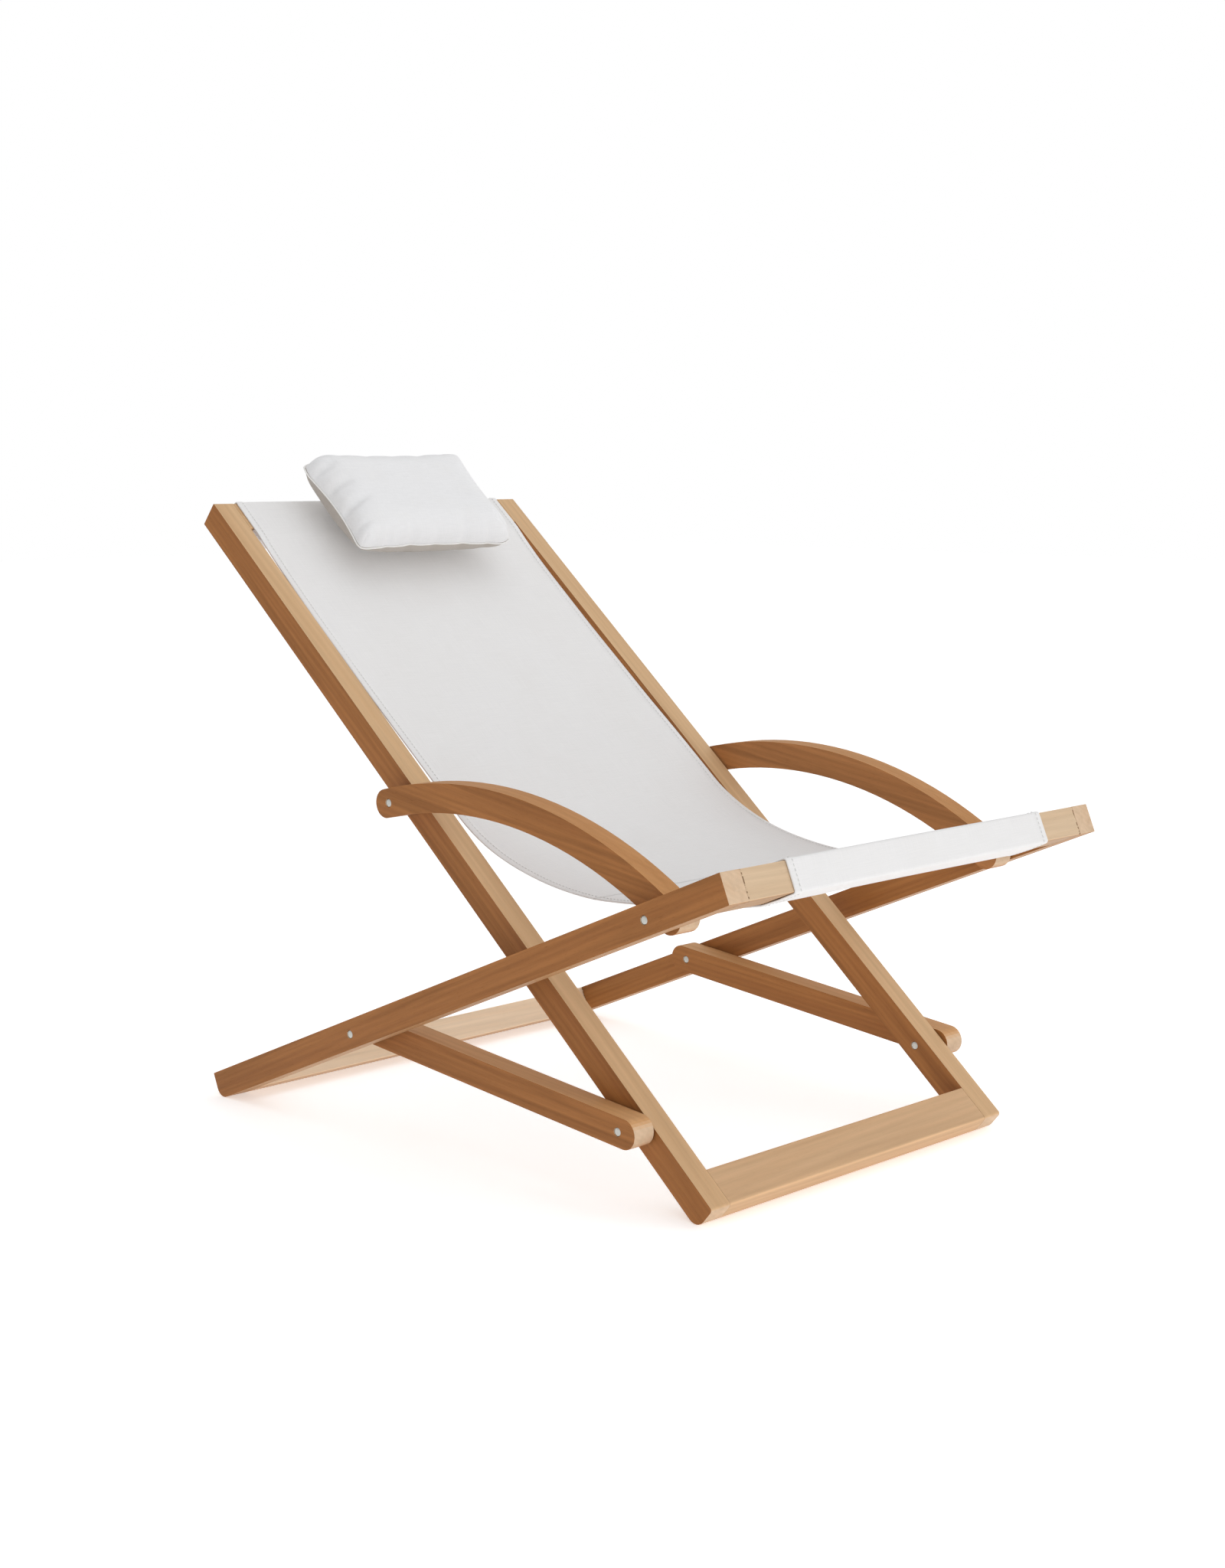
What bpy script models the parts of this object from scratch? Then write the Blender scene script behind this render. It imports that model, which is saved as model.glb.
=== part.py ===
"""Folding deck chair: two crossed wooden frames joined by curved armrests and lower struts,
with a canvas sling hung between them and a head pillow.

World frame: metres, +Z up, X across the chair, the sitter faces -Y. The origin is the middle of
the footprint on the ground. Left and right are the sitter's own: left is +X.
"""
import math

import bmesh
import bpy
from mathutils import Matrix, Vector
from mathutils.geometry import interpolate_bezier

OBJECT_NAME = "folding_deck_chair"

# Timber sections
DEPTH = 0.0335          # depth of every rail, armrest and strut, square to its length
THICK = 0.029           # thickness of the same pieces, across the chair
BAR = 0.047             # width of the four cross bars, along the rails they join
ARRIS = 0.0016          # rounding of the long edges
BAR_END_ARRIS = 0.0004  # rounding where a cross bar meets its rails
JOINT_GAP = 0.0003      # gap left between pieces that touch

# Layout across the chair, from the outside inwards
HALF_WIDTH = 0.315      # outer face of the seat rails
LAYER_GAP = 0.0025      # gap between two neighbouring layers, filled by a spacer

# Side view
FOOTPRINT = 0.747       # distance between the two lines of ground contact
SEAT_SLOPE = math.radians(23.1)
BACK_SLOPE = math.radians(40.0)
SEAT_LENGTH = 0.930
BACK_LENGTH = 1.109
HEEL = 0.014            # radius of the rail ends that stand on the ground
TOE = 0.004             # radius of the corner opposite the heel
SQUARE = 0.001          # radius of a corner that looks square

# Pivots, on the middle line of each rail
SEAT_TO_ARM = 0.1187    # from the front end of the seat rail
SEAT_TO_STRUT = 0.638
BACK_TO_ARM = 0.500     # from the top end of the back rail
BACK_TO_STRUT = 0.983
ARM_RADIUS = 0.5705     # middle line of the curved armrest
ARM_END = 0.0057        # from a pivot to the middle of the armrest's rounded end
STRUT_END = 0.009

# Pivot hardware
HOLE_R = 0.0038
SLEEVE_R = 0.0034
SLEEVE_BORE_R = 0.0026
SHANK_R = 0.0022
HEAD_R = 0.0045
HEAD_H = 0.0013
HEAD_RIM = 0.0008       # height of the head's straight rim, under its dome
RECESS_R = 0.0051       # counterbore that sinks a head flush with the timber
RECESS = 0.0018
NUT_CLEAR = 0.001       # from the end of a nut's sleeve to the underside of the bolt's head
BOLT_CLEAR = 0.004      # from the end of a bolt to the bottom of its nut
OPEN_CLEAR = 0.0005     # from the end of an open pivot's pin to the side of the piece it is in
SPACER_R = 0.0085
SPACER_BORE_R = 0.0043

# Dowels
DOWEL_R = 0.004
DOWEL_LENGTH = 0.038
DOWEL_HOLE_R = 0.0043
DOWEL_HOLE_DEPTH = 0.020
DOWEL_SPACING = 0.023

# Sling
SLING_HALF_WIDTH = 0.2185
CLOTH = 0.0012
CLOTH_GAP = 0.0004      # between the cloth and the wood it wraps
SLEEVE_SEAM = 0.018     # from a bar to the far end of its sleeve's seam
STRAIGHT_BACK = 0.570   # the cloth runs straight this far down from the top of the back rails
SEAT_LOW = (0.188, 0.3144)   # lowest line of the sling: distance forward of the origin, height
SEAT_RISE = math.radians(10.3)   # slope of the cloth where it meets the front bar
BEND_PULL = (0.025, 0.090)   # how far the cloth keeps each direction, from the back to the low line
RISE_PULL = (0.061, 0.061)   # the same, from the low line to the front bar

# Head pillow
PILLOW_SIZE = (0.270, 0.172, 0.082)   # across, along the back rails, thickness
PILLOW_FROM_TOP = 0.058               # its middle, down from the top end of the back rails
PILLOW_LIFT = 0.0032                  # underside above the front plane of the back rails

ROUND_STEPS = 16
ARC_STEP = math.radians(12)

MATERIALS = {
    "timber": ((0.36, 0.19, 0.09), 0.55, 0.0),
    "cloth": ((0.80, 0.79, 0.77), 0.90, 0.0),
    "steel": ((0.60, 0.60, 0.58), 0.35, 1.0),
    "nylon": ((0.62, 0.60, 0.55), 0.60, 0.0),
    "beech": ((0.60, 0.42, 0.26), 0.60, 0.0),
}

# Derived positions across the chair
SEAT_X = HALF_WIDTH - THICK / 2
MID_X = SEAT_X - THICK - LAYER_GAP
BACK_X = MID_X - THICK - LAYER_GAP
SEAT_INNER_X = SEAT_X - THICK / 2
BACK_INNER_X = BACK_X - THICK / 2
SIDES = {"left": 1, "right": -1}


def clear_scene():
    for item in list(bpy.data.objects):
        bpy.data.objects.remove(item)


def new_collection(name):
    collection = bpy.data.collections.new(name)
    bpy.context.scene.collection.children.link(collection)
    return collection


def new_material(name, kind):
    """A material of its own for one piece."""
    colour, roughness, metallic = MATERIALS[kind]
    material = bpy.data.materials.new(name)
    material.use_nodes = True
    shader = material.node_tree.nodes["Principled BSDF"]
    shader.inputs["Base Color"].default_value = (*colour, 1.0)
    shader.inputs["Roughness"].default_value = roughness
    shader.inputs["Metallic"].default_value = metallic
    return material


def frame_matrix(location, slope):
    """Placement of a side-view frame: its Y runs up the slope towards +Y, its Z is square to it."""
    return Matrix.Translation(location) @ Matrix.Rotation(slope, 4, "X")


def place_frame(slope, local_point, target):
    """The frame with this slope whose local point lands on the target. Points are (y, z)."""
    turned = Matrix.Rotation(slope, 4, "X") @ Vector((0, *local_point))
    return frame_matrix(Vector((0, *target)) - turned, slope)


def side_point(matrix, y, z):
    """World position of a side-view point of a frame, in the middle plane of the chair."""
    return matrix @ Vector((0, y, z))


# The seat frame's Y runs down from its front end, the back frame's Y runs up from its foot.
# In both, Z = 0 is the face that the sitter is on.
SEAT = place_frame(-SEAT_SLOPE, (SEAT_LENGTH - HEEL, HEEL - DEPTH), (FOOTPRINT / 2, HEEL))
BACK = place_frame(BACK_SLOPE, (HEEL, HEEL - DEPTH), (-FOOTPRINT / 2, HEEL))
ARM_ON_BACK = side_point(BACK, BACK_LENGTH - BACK_TO_ARM, -DEPTH / 2)
ARM_ON_SEAT = side_point(SEAT, SEAT_TO_ARM, -DEPTH / 2)
STRUT_ON_SEAT = side_point(SEAT, SEAT_TO_STRUT, -DEPTH / 2)
STRUT_ON_BACK = side_point(BACK, BACK_LENGTH - BACK_TO_STRUT, -DEPTH / 2)


def arc(centre, radius, start, end):
    """Points of an arc in the side view, both ends included."""
    steps = max(2, math.ceil(abs(end - start) / ARC_STEP))
    angles = [start + (end - start) * i / steps for i in range(steps + 1)]
    return [(centre[0] + radius * math.cos(a), centre[1] + radius * math.sin(a)) for a in angles]


def rounded(corners):
    """Outline through the corners (y, z, radius), listed anticlockwise, each corner rounded."""
    points = []
    count = len(corners)
    for i, (y, z, radius) in enumerate(corners):
        corner = Vector((y, z))
        before = (Vector(corners[i - 1][:2]) - corner).normalized()
        after = (Vector(corners[(i + 1) % count][:2]) - corner).normalized()
        half = before.angle(after) / 2
        centre = corner + (before + after).normalized() * (radius / math.sin(half))
        middle = math.atan2(*(corner - centre).yx)
        sweep = math.pi / 2 - half
        turn = 1 if before.cross(after) < 0 else -1
        points += arc(centre, radius, middle - turn * sweep, middle + turn * sweep)
    return points


class Builder:
    """Makes the pieces and keeps track of the collections they go in."""

    def __init__(self):
        self.parts = new_collection(OBJECT_NAME)
        self.cutters = new_collection("cutters")

    def body(self, name, matrix):
        """An empty on a joint axis, which carries the pieces that move together."""
        empty = bpy.data.objects.new(name, None)
        empty.empty_display_size = 0.05
        empty.matrix_world = matrix
        self.parts.objects.link(empty)
        return empty

    def add(self, name, mesh, kind, parent, matrix):
        """A piece made of this mesh, placed in the world and carried by the parent."""
        piece = bpy.data.objects.new(name, mesh)
        piece.data.materials.append(new_material(name, kind))
        self.parts.objects.link(piece)
        piece.parent = parent
        piece.matrix_parent_inverse = parent.matrix_world.inverted()
        piece.matrix_world = matrix
        return piece

    def extrude(self, name, outline, thickness, kind, parent, matrix, edge=0.0):
        """A flat side-view outline given a thickness across the chair, with rounded rims."""
        curve = bpy.data.curves.new(name, "CURVE")
        curve.dimensions = "2D"
        curve.fill_mode = "BOTH"
        curve.extrude = thickness / 2
        spline = curve.splines.new("POLY")
        spline.points.add(len(outline) - 1)
        spline.use_cyclic_u = True
        for point, (y, z) in zip(spline.points, outline):
            point.co = (y, z, 0, 1)
        guide = bpy.data.objects.new(name + "_guide", curve)
        self.parts.objects.link(guide)
        graph = bpy.context.evaluated_depsgraph_get()
        mesh = bpy.data.meshes.new_from_object(guide.evaluated_get(graph))
        bpy.data.objects.remove(guide)
        shape = bmesh.new()
        shape.from_mesh(mesh)
        bmesh.ops.remove_doubles(shape, verts=shape.verts, dist=1e-6)
        bmesh.ops.transform(shape, matrix=Matrix(((0, 0, 1, 0), (1, 0, 0, 0), (0, 1, 0, 0), (0, 0, 0, 1))),
                            verts=shape.verts)
        bmesh.ops.recalc_face_normals(shape, faces=shape.faces)
        shape.to_mesh(mesh)
        shape.free()
        piece = self.add(name, mesh, kind, parent, matrix)
        if edge:
            bevel = piece.modifiers.new("arris", "BEVEL")
            bevel.width = edge
            bevel.segments = 2
            bevel.limit_method = "ANGLE"
            bevel.angle_limit = math.radians(50)
        return piece

    def drill(self, piece, holes, label="holes"):
        """Cuts round holes across the chair: (x, y, z, radius, depth), centred, in the piece's frame."""
        shape = bmesh.new()
        for x, y, z, radius, depth in holes:
            matrix = Matrix.Translation((x, y, z)) @ Matrix.Rotation(math.pi / 2, 4, "Y")
            bmesh.ops.create_cone(shape, cap_ends=True, segments=ROUND_STEPS, radius1=radius,
                                  radius2=radius, depth=depth, matrix=matrix)
        mesh = bpy.data.meshes.new(f"{piece.name}_{label}")
        shape.to_mesh(mesh)
        shape.free()
        cutter = bpy.data.objects.new(mesh.name, mesh)
        cutter.hide_render = True
        cutter.display_type = "WIRE"
        self.cutters.objects.link(cutter)
        cutter.parent = piece
        cut = piece.modifiers.new(label, "BOOLEAN")
        cut.operation = "DIFFERENCE"
        cut.object = cutter

    def turned(self, name, profile, kind, parent, matrix):
        """A round piece: the profile (radius, height), from the top down its outer side."""
        mesh = bpy.data.meshes.new(name)
        closed = profile[0][0] > 0
        count = len(profile)
        edges = [(i, (i + 1) % count) for i in range(count if closed else count - 1)]
        mesh.from_pydata([(radius, 0, height) for radius, height in profile], edges, [])
        piece = self.add(name, mesh, kind, parent, matrix)
        screw = piece.modifiers.new("turn", "SCREW")
        screw.steps = ROUND_STEPS
        screw.render_steps = ROUND_STEPS
        screw.use_merge_vertices = True
        screw.merge_threshold = 0.00001
        screw.use_smooth_shade = True
        return piece


def rail_outline(length, heel_at_far_end):
    """Side view of a rail from y = 0 to its length, with its top face at z = 0."""
    near, far = (SQUARE, HEEL) if heel_at_far_end else (HEEL, SQUARE)
    near_top, far_top = (SQUARE, SQUARE) if heel_at_far_end else (TOE, SQUARE)
    return rounded([(0, -DEPTH, near), (length, -DEPTH, far), (length, 0, far_top), (0, 0, near_top)])


def bar_outline(start, outer_radius=None, outer_top=None, outer_at_far_side=True):
    """Cross section of a bar that starts at y = start. Its outer corners may follow the rail's end."""
    low = outer_radius or ARRIS
    high = outer_top or ARRIS
    near = (ARRIS, ARRIS) if outer_at_far_side else (low, high)
    far = (low, high) if outer_at_far_side else (ARRIS, ARRIS)
    return rounded([(start, -DEPTH, near[0]), (start + BAR, -DEPTH, far[0]),
                    (start + BAR, 0, far[1]), (start, 0, near[1])])


def dowel_rows(bar_start):
    """The two dowels of a bar's end, as (y, z) on the bar's middle line."""
    middle = bar_start + BAR / 2
    return [(middle - DOWEL_SPACING / 2, -DEPTH / 2), (middle + DOWEL_SPACING / 2, -DEPTH / 2)]


def drill_rail(build, rail, side, pivots, bar_starts, head_side):
    """Pivot holes right through a rail, a recess for each bolt head or nut, and blind dowel holes."""
    through = [(0, y, -DEPTH / 2, HOLE_R, THICK * 2) for y in pivots]
    blind = [(-side * THICK / 2, y, z, DOWEL_HOLE_R, DOWEL_HOLE_DEPTH * 2)
             for start in bar_starts for y, z in dowel_rows(start)]
    recesses = [(head_side * THICK / 2, y, -DEPTH / 2, RECESS_R, RECESS * 2) for y in pivots]
    build.drill(rail, through + blind)
    build.drill(rail, recesses, "recesses")


def add_cross_bar(build, name, outline, start, inner_x, parent, matrix):
    """A bar between the inner faces of two rails, with its dowels."""
    length = 2 * (inner_x - JOINT_GAP)
    bar = build.extrude(name, outline, length, "timber", parent, matrix, BAR_END_ARRIS)
    rows = dowel_rows(start)
    build.drill(bar, [(side * length / 2, y, z, DOWEL_HOLE_R, DOWEL_HOLE_DEPTH * 2)
                      for side in SIDES.values() for y, z in rows])
    for word, side in SIDES.items():
        for number, (y, z) in enumerate(rows, 1):
            place = matrix @ Matrix.Translation((side * inner_x, y, z)) @ Matrix.Rotation(math.pi / 2, 4, "Y")
            half = DOWEL_LENGTH / 2
            chamfer = 0.001
            profile = [(0, half), (DOWEL_R - chamfer, half), (DOWEL_R, half - chamfer),
                       (DOWEL_R, chamfer - half), (DOWEL_R - chamfer, -half), (0, -half)]
            build.turned(f"{name}_dowel_{word}_{number}", profile, "beech", parent, place)


def add_seat_frame(build, parent):
    rear_bar = SEAT_LENGTH - BAR
    for word, side in SIDES.items():
        rail = build.extrude(f"seat_rail_{word}", rail_outline(SEAT_LENGTH, True), THICK, "timber", parent,
                             Matrix.Translation((side * SEAT_X, 0, 0)) @ SEAT, ARRIS)
        drill_rail(build, rail, side, (SEAT_TO_ARM, SEAT_TO_STRUT), (0, rear_bar), side)
    add_cross_bar(build, "seat_front_bar", bar_outline(0), 0, SEAT_INNER_X, parent, SEAT)
    add_cross_bar(build, "seat_rear_bar", bar_outline(rear_bar, HEEL), rear_bar, SEAT_INNER_X, parent, SEAT)


def add_back_frame(build, parent):
    top_bar = BACK_LENGTH - BAR
    pivots = (BACK_LENGTH - BACK_TO_ARM, BACK_LENGTH - BACK_TO_STRUT)
    for word, side in SIDES.items():
        rail = build.extrude(f"back_rail_{word}", rail_outline(BACK_LENGTH, False), THICK, "timber", parent,
                             Matrix.Translation((side * BACK_X, 0, 0)) @ BACK, ARRIS)
        drill_rail(build, rail, side, pivots, (0, top_bar), -side)
    add_cross_bar(build, "back_top_bar", bar_outline(top_bar), top_bar, BACK_INNER_X, parent, BACK)
    foot = bar_outline(0, HEEL, TOE, outer_at_far_side=False)
    add_cross_bar(build, "back_foot_bar", foot, 0, BACK_INNER_X, parent, BACK)


def link_matrix(start, end, x):
    """Frame of a link from its first pivot, with Y towards the second pivot."""
    run = end - start
    return frame_matrix(Vector((x, *start.yz)), math.atan2(run.z, run.y))


def strut_outline(length):
    radius = DEPTH / 2
    return (arc((length + STRUT_END, 0), radius, -math.pi / 2, math.pi / 2)
            + arc((-STRUT_END, 0), radius, math.pi / 2, math.pi * 3 / 2))


def armrest_outline(length):
    """A bent strip of constant depth: an arc whose middle line passes through both pivots.

    The armrest runs from the back frame towards the front, so its hollow side is at +z here.
    """
    centre = Vector((length / 2, math.sqrt(ARM_RADIUS ** 2 - (length / 2) ** 2)))
    half_turn = math.asin(length / 2 / ARM_RADIUS) + ARM_END / ARM_RADIUS
    start = -math.pi / 2 - half_turn
    end = -math.pi / 2 + half_turn
    radius = DEPTH / 2
    steps = 24
    turns = [start + (end - start) * i / steps for i in range(steps + 1)]

    def on_arc(distance, angle):
        return (centre.x + distance * math.cos(angle), centre.y + distance * math.sin(angle))

    outer = [on_arc(ARM_RADIUS + radius, angle) for angle in turns]
    inner = [on_arc(ARM_RADIUS - radius, angle) for angle in reversed(turns)]
    far_end = arc(on_arc(ARM_RADIUS, end), radius, end, end + math.pi)
    near_end = arc(on_arc(ARM_RADIUS, start), radius, start + math.pi, start + 2 * math.pi)
    return outer[:-1] + far_end + inner[1:-1] + near_end[:-1]


def add_link(build, name, outline, start, end, side, parent):
    """An armrest or a strut: a flat piece with a hole at each of its two pivots.

    The bolt's head is sunk in its outer side at the first pivot, and the nut in its inner side at
    the second.
    """
    matrix = link_matrix(start, end, side * MID_X)
    piece = build.extrude(name, outline, THICK, "timber", parent, matrix, ARRIS)
    length = (end - start).length
    build.drill(piece, [(0, y, 0, HOLE_R, THICK * 2) for y in (0, length)])
    recesses = ((side, 0), (-side, length))
    build.drill(piece, [(way * THICK / 2, y, 0, RECESS_R, RECESS * 2) for way, y in recesses], "recesses")


def head_profile():
    """A low domed head that stands on z = 0, from its middle to its rim."""
    turns = [math.pi / 8 * i for i in range(5)]
    dome = [(HEAD_R * math.sin(turn), HEAD_RIM + (HEAD_H - HEAD_RIM) * math.cos(turn)) for turn in turns]
    return [(0, HEAD_H)] + dome[1:] + [(HEAD_R, 0)]


def bolt_profile(shank):
    return head_profile() + [(SHANK_R, 0), (SHANK_R, -shank), (0, -shank)]


def sleeve_nut_profile(length):
    """A head with a sleeve below it, bored for the bolt."""
    return head_profile() + [(SLEEVE_R, 0), (SLEEVE_R, -length), (SLEEVE_BORE_R, -length),
                             (SLEEVE_BORE_R, -JOINT_GAP), (0, -JOINT_GAP)]


def spacer_profile():
    half = LAYER_GAP / 2 - JOINT_GAP
    return [(SPACER_R, half), (SPACER_R, -half), (SPACER_BORE_R, -half), (SPACER_BORE_R, half)]


def add_pivot(build, name, point, side, outer_x, bolt_parent, nut_parent, open_pivot=False):
    """A bolt from the outside, a sleeve nut from the inside and a spacer between the two layers.

    At an open pivot the bolt ends inside the outer piece and the nut inside the inner one.
    """
    sunk = RECESS - JOINT_GAP
    stack = 2 * THICK + LAYER_GAP
    between = stack - 2 * sunk
    outward = Matrix.Rotation(side * math.pi / 2, 4, "Y")
    inward = Matrix.Rotation(-side * math.pi / 2, 4, "Y")
    face_x = outer_x + THICK / 2
    head_x = side * (face_x - sunk)
    nut_x = side * (face_x - stack + sunk)
    gap_x = side * (face_x - THICK - LAYER_GAP / 2)
    shank, sleeve = between - BOLT_CLEAR, between - NUT_CLEAR
    if open_pivot:
        shank = sleeve = THICK - sunk - OPEN_CLEAR
    y, z = point.yz
    build.turned(f"{name}_bolt", bolt_profile(shank), "steel", bolt_parent,
                 Matrix.Translation((head_x, y, z)) @ outward)
    build.turned(f"{name}_nut", sleeve_nut_profile(sleeve), "steel", nut_parent,
                 Matrix.Translation((nut_x, y, z)) @ inward)
    build.turned(f"{name}_spacer", spacer_profile(), "nylon", nut_parent,
                 Matrix.Translation((gap_x, y, z)) @ outward)


def curve_points(start, start_handle, end_handle, end, count):
    """Points of a Bezier stretch in the side view, without its last point."""
    stretch = interpolate_bezier(start, start_handle, end_handle, end, count + 1)
    return [Vector((0, point.y, point.z)) for point in stretch[:-1]]


def sling_path():
    """Middle line of the cloth: the top sleeve, the back, the seat and the front sleeve.

    The cloth comes over the top bar's front and reaches the front bar at its lower rear edge.
    """
    off = CLOTH / 2 + CLOTH_GAP
    lap = CLOTH + CLOTH_GAP
    under, over = -DEPTH - off, off
    low, high = BACK_LENGTH - BAR - off, BACK_LENGTH + off
    seam = low - SLEEVE_SEAM
    top_sleeve = [(seam, over - lap), (low, over - lap), (low, under), (high, under), (high, over)]
    path = [side_point(BACK, y, z) for y, z in top_sleeve]

    forward = Vector((0, -1, 0))
    down_back = BACK.to_3x3() @ Vector((0, -1, 0))
    rise = Vector((0, -math.cos(SEAT_RISE), math.sin(SEAT_RISE)))
    bend = side_point(BACK, BACK_LENGTH - STRAIGHT_BACK, over)
    bottom = Vector((0, -SEAT_LOW[0], SEAT_LOW[1]))
    far, near = BAR + off, -off
    front = side_point(SEAT, far, under)
    path += curve_points(bend, bend + down_back * BEND_PULL[0], bottom - forward * BEND_PULL[1], bottom, 14)
    path += curve_points(bottom, bottom + forward * RISE_PULL[0], front - rise * RISE_PULL[1], front, 12)

    front_sleeve = [(far, under), (near, under), (near, over), (far, over)]
    path += [side_point(SEAT, y, z) for y, z in front_sleeve]
    above = Vector((0, rise.z, -rise.y)) * lap
    path += [front + above, front + above - rise * SLEEVE_SEAM]
    return [(point.y, point.z) for point in path]


def strip_outline(path, thickness):
    """Both sides of a thin strip along a path, with mitred corners."""
    points = [Vector(point) for point in path]
    sides = ([], [])
    for i, point in enumerate(points):
        before = (point - points[i - 1]).normalized() if i else None
        after = (points[i + 1] - point).normalized() if i < len(points) - 1 else None
        before = before or after
        after = after or before
        tangent = (before + after).normalized()
        normal = Vector((-tangent.y, tangent.x))
        reach = thickness / 2 / max(0.5, normal.dot(Vector((-before.y, before.x))))
        sides[0].append(point + normal * reach)
        sides[1].append(point - normal * reach)
    return [tuple(point) for point in sides[0] + sides[1][::-1]]


def add_sling(build, parent):
    outline = strip_outline(sling_path(), CLOTH)
    build.extrude("sling", outline, 2 * SLING_HALF_WIDTH, "cloth", parent, Matrix())


def add_pillow(build, parent):
    """A stuffed pillow: thick in the middle, thin at its seam."""
    shape = bmesh.new()
    bmesh.ops.create_cube(shape, size=2)
    bmesh.ops.subdivide_edges(shape, edges=shape.edges, cuts=3, use_grid_fill=True)
    across, along, thick = (size / 2 for size in PILLOW_SIZE)
    for vertex in shape.verts:
        u, v, w = vertex.co
        fullness = math.sqrt(max(0.0, 1 - 0.82 * max(abs(u), abs(v)) ** 3))
        vertex.co = (u * across * (1 - 0.06 * v * v), v * along * (1 - 0.08 * u * u), w * thick * fullness)
    mesh = bpy.data.meshes.new("head_pillow")
    shape.to_mesh(mesh)
    shape.free()
    mesh.shade_smooth()
    place = BACK @ Matrix.Translation((0, BACK_LENGTH - PILLOW_FROM_TOP, PILLOW_LIFT + thick))
    pillow = build.add("head_pillow", mesh, "cloth", parent, place)
    smooth = pillow.modifiers.new("soft", "SUBSURF")
    smooth.levels = 1
    smooth.render_levels = 1


def main():
    clear_scene()
    build = Builder()
    back = build.body("back_frame_body", BACK)
    seat = build.body("seat_frame_body", frame_matrix(ARM_ON_SEAT, -SEAT_SLOPE))
    bodies = {}
    for word in SIDES:
        bodies["armrest", word] = build.body(f"armrest_{word}_body", link_matrix(ARM_ON_BACK, ARM_ON_SEAT, 0))
        bodies["strut", word] = build.body(f"strut_{word}_body", link_matrix(STRUT_ON_BACK, STRUT_ON_SEAT, 0))
    bpy.context.view_layer.update()

    add_back_frame(build, back)
    add_seat_frame(build, seat)
    arm_length = (ARM_ON_SEAT - ARM_ON_BACK).length
    strut_length = (STRUT_ON_SEAT - STRUT_ON_BACK).length
    for word, side in SIDES.items():
        arm, strut = bodies["armrest", word], bodies["strut", word]
        add_link(build, f"armrest_{word}", armrest_outline(arm_length), ARM_ON_BACK, ARM_ON_SEAT, side, arm)
        add_link(build, f"strut_{word}", strut_outline(strut_length), STRUT_ON_BACK, STRUT_ON_SEAT, side, strut)
        add_pivot(build, f"armrest_back_{word}", ARM_ON_BACK, side, MID_X, back, back)
        add_pivot(build, f"armrest_seat_{word}", ARM_ON_SEAT, side, SEAT_X, seat, seat)
        add_pivot(build, f"strut_back_{word}", STRUT_ON_BACK, side, MID_X, back, back)
        add_pivot(build, f"strut_seat_{word}", STRUT_ON_SEAT, side, SEAT_X, seat, strut, open_pivot=True)
    add_sling(build, back)
    add_pillow(build, back)


main()
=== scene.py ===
import math

import bmesh
import bpy
import numpy as np
from mathutils import Matrix, Vector


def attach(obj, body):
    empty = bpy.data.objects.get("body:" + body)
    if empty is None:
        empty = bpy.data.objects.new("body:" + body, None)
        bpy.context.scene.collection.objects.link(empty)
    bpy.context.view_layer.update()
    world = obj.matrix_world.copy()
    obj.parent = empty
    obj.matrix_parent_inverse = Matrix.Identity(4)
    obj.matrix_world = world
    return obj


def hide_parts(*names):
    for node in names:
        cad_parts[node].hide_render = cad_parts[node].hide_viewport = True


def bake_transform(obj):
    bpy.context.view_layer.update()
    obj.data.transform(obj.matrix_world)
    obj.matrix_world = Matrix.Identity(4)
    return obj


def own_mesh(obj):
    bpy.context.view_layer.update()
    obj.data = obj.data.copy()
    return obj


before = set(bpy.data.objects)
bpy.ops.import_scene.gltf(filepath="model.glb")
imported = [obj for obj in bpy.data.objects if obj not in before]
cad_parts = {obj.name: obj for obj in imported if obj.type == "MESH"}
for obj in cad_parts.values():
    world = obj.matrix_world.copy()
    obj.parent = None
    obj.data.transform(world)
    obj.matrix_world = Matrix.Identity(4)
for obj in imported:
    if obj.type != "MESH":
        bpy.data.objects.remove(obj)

# Sizes repeated from the CAD source, in metres
DEPTH = 0.0335
BAR = 0.047
HEEL = 0.014
SEAT_SLOPE = math.radians(23.1)
BACK_SLOPE = math.radians(40.0)
SEAT_LENGTH = 0.930
BACK_LENGTH = 1.109
HALF_FOOTPRINT = 0.3735
SLING_HALF_WIDTH = 0.2185
SEAT_BAR_END = 0.2857   # from the chair's middle to the joint between a seat bar and its rail
ARM_CHORD = math.radians(8.95)   # slope of the armrest from pivot to pivot
STRUT_CHORD = math.radians(5.25)   # the same for the strut

# Timber colours
UNDERSIDE_PAINTED_SHADE = (0.70, 0.58, 0.48)   # painted shade: what a downward face keeps of its colour
# Painted highlight on rounded arrises: how much lighter they are
EDGE_HIGHLIGHT = (1.27, 1.27, 1.27)
JOINT_DARK = (0.30, 0.22, 0.16)
# seat_rear_bar is lighter than seat_front_bar: painted light, making up for the chair's shade on it
BAR_FACES = {"seat_front_bar": (0.64, 0.475, 0.315), "seat_rear_bar": (0.81, 0.63, 0.455),
             "back_top_bar": (0.60, 0.39, 0.213), "back_foot_bar": (0.62, 0.405, 0.232)}
RAIL_EDGE = (0.63, 0.415, 0.23)
ARMREST_EDGE = (0.52, 0.25, 0.088)
STRUT_EDGE = (0.60, 0.33, 0.145)
# Side faces: darker than the edges partly as the face grain's own colour, partly as painted shade
TIMBER_SIDE = (0.352, 0.141, 0.040)
FAR_ARMREST_SIDE = (0.430, 0.182, 0.062)   # lighter, because the far armrest's side gets little light

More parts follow.
